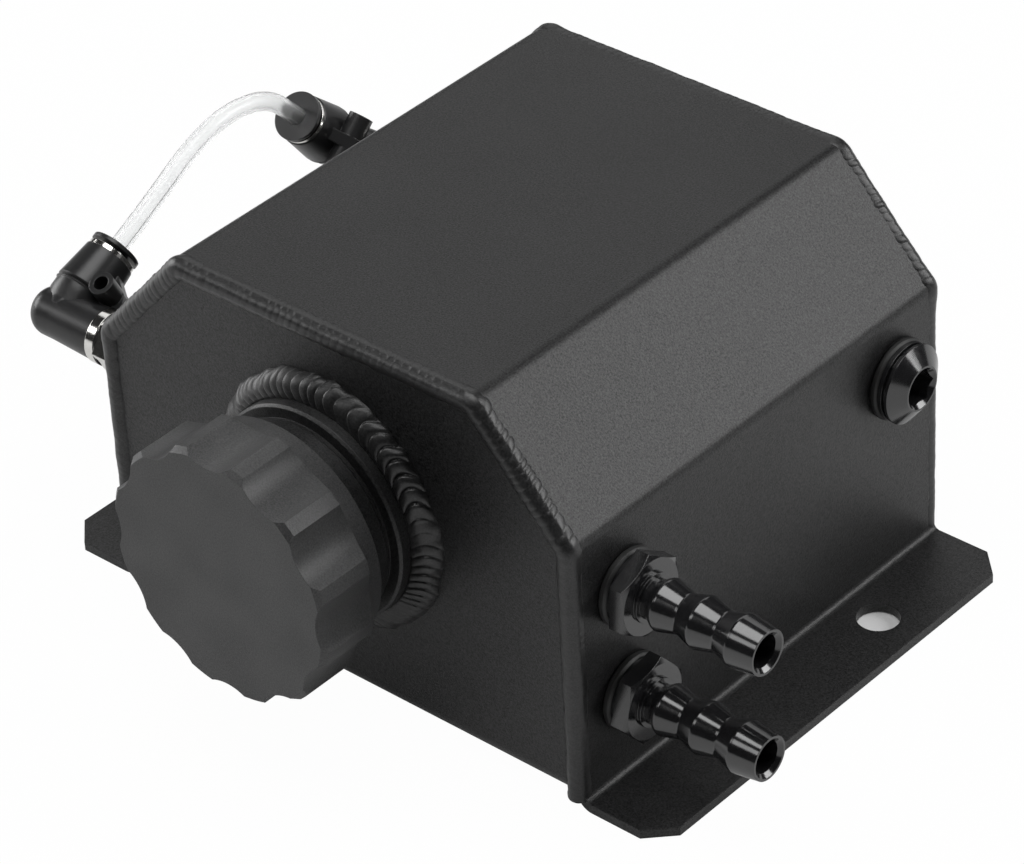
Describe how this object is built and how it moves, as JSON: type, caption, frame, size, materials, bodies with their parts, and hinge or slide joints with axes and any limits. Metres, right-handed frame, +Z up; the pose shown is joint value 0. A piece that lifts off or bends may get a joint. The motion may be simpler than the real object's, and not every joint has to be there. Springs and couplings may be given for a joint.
{
  "type": "oil catch can",
  "caption": "Black sheet-metal oil catch can with mounting flanges, screw filler cap, hose barbs, drain plug and a clear sight tube.",
  "frame": {"origin": "centre of the four bolt holes, on the flanges' underside (the mounting face)", "axes": "+X to the side with the hose barbs and the drain, +Y to the back, away from the filler cap, +Z up"},
  "size_m": [0.1868, 0.1416, 0.0852],
  "materials": {
    "coat": "fine-grained satin black powder coat on aluminium",
    "coated_weld": "weld bead under the same satin black coat",
    "black_cap": "matt black anodised",
    "black_fitting": "gloss black anodised",
    "rubber": "matt black",
    "elbow_plastic": "black moulded, slightly grained",
    "nickel": "bright nickel plate",
    "steel": "spring steel",
    "clear_tube": "clear, slightly milky"
  },
  "bodies": {
    "tank": {"wrap": "coat", "tray": "coat", "front_seam": "coated_weld", "rear_seam": "coated_weld", "base_seam_left": "coated_weld", "base_seam_right": "coated_weld", "filler_neck": "coat", "neck_weld": "coated_weld", "hose_boss_upper": "coat", "hose_boss_lower": "coat", "hose_seal_upper": "rubber", "hose_seal_lower": "rubber", "hose_barb_upper": "black_fitting", "hose_barb_lower": "black_fitting", "drain_boss": "coat", "sight_boss_front": "coat", "sight_weld_front": "coated_weld", "stud_seal_front": "rubber", "sight_stud_front": "nickel", "stud_ring_front": "rubber", "elbow_front": "elbow_plastic", "tube_seal_front": "rubber", "claw_ring_front": "steel", "band_front": "nickel", "sight_boss_rear": "coat", "sight_weld_rear": "coated_weld", "stud_seal_rear": "rubber", "sight_stud_rear": "nickel", "stud_ring_rear": "rubber", "elbow_rear": "elbow_plastic", "tube_seal_rear": "rubber", "claw_ring_rear": "steel", "band_rear": "nickel", "sight_tube": "clear_tube"},
    "cap_seal": {"cap_gasket": "rubber"},
    "cap": {"filler_cap": "black_cap"},
    "plug_seal": {"drain_seal": "rubber"},
    "plug": {"drain_plug": "black_fitting"},
    "collar_front": {"release_collar_front": "elbow_plastic"},
    "collar_rear": {"release_collar_rear": "elbow_plastic"}
  },
  "joints": [
    {"name": "cap_rise", "type": "slide", "parent": "tank", "child": "cap_seal", "axis": [0, -1, 0], "range_m": [0, 0.0121]},
    {"name": "cap_turn", "type": "hinge", "parent": "cap_seal", "child": "cap", "pos_m": [0, -0.0545, 0.046], "axis": [0, -1, 0], "range_deg": [0, 1440]},
    {"name": "plug_rise", "type": "slide", "parent": "tank", "child": "plug_seal", "axis": [1, 0, 0], "range_m": [0, 0.0099]},
    {"name": "plug_turn", "type": "hinge", "parent": "plug_seal", "child": "plug", "pos_m": [0.06, 0.0411, 0.046], "axis": [1, 0, 0], "range_deg": [0, 2340]},
    {"name": "collar_front_press", "type": "slide", "parent": "tank", "child": "collar_front", "axis": [0, -0.8949, -0.4462], "range_m": [0, 0.0007], "stiffness_N_per_m": 800},
    {"name": "collar_rear_press", "type": "slide", "parent": "tank", "child": "collar_rear", "axis": [0, 0.6884, -0.7254], "range_m": [0, 0.0007], "stiffness_N_per_m": 800}
  ],
  "couplings": [
    {"joint": "cap_rise", "follows": "cap_turn", "m_per_rad": 0.00047746},
    {"joint": "plug_rise", "follows": "plug_turn", "m_per_rad": 0.00023873}
  ]
}
